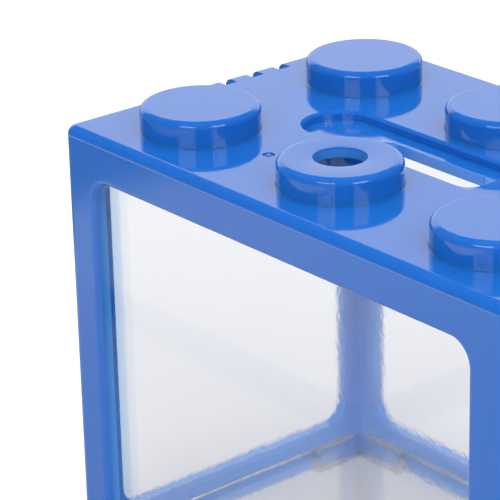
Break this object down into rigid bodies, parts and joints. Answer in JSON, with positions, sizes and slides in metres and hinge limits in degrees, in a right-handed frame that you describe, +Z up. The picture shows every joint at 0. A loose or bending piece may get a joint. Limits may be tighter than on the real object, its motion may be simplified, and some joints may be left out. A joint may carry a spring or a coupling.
{
  "type": "stackable fish tank",
  "caption": "Small desktop fish tank: a clear open-top box under a lift-off plastic frame with windows, a studded deck, a feeding slot and air notches.",
  "frame": {"origin": "on the table, under the middle of the tank", "axes": "+X along the long front face, +Y towards the back, +Z up through the studs"},
  "size_m": [0.12, 0.078, 0.1],
  "materials": {
    "blue_plastic": "high gloss moulded plastic",
    "clear_plastic": "clear polished plastic"
  },
  "bodies": {
    "tank": {"clear_tank": "clear_plastic"},
    "cover": {"studded_frame": "blue_plastic"}
  },
  "joints": [
    {"name": "cover_lift", "type": "slide", "parent": "tank", "child": "cover", "axis": [0, 0, 1], "range_m": [0, 0.1]}
  ]
}
